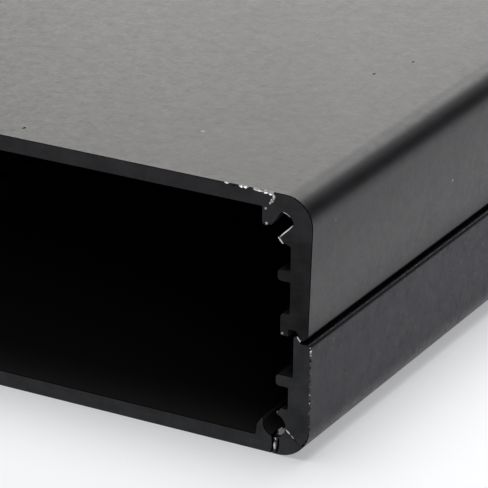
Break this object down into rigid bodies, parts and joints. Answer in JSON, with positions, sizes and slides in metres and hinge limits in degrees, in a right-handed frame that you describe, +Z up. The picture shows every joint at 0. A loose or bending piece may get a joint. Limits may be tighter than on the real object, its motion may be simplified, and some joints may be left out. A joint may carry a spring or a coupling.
{
  "type": "extruded aluminium enclosure",
  "caption": "Split extruded aluminium box: two interlocking U-shaped shells with board ribs and screw ports, an end plate screwed to the rear, and the front end open.",
  "frame": {"origin": "middle of the underside, which lies on Z = 0", "axes": "+Y along the extrusions from the open front end to the rear plate, +Z up, +X to the right as seen from the open end"},
  "size_m": [0.066, 0.102, 0.027],
  "materials": {
    "shell": "black anodised, finely blasted",
    "plate": "black anodised, satin",
    "screw": "black oxide"
  },
  "bodies": {
    "root": {"upper_shell": "shell", "lower_shell": "shell", "rear_end_plate": "plate", "screw_upper_left": "screw", "screw_upper_right": "screw", "screw_lower_left": "screw", "screw_lower_right": "screw"}
  },
  "joints": []
}
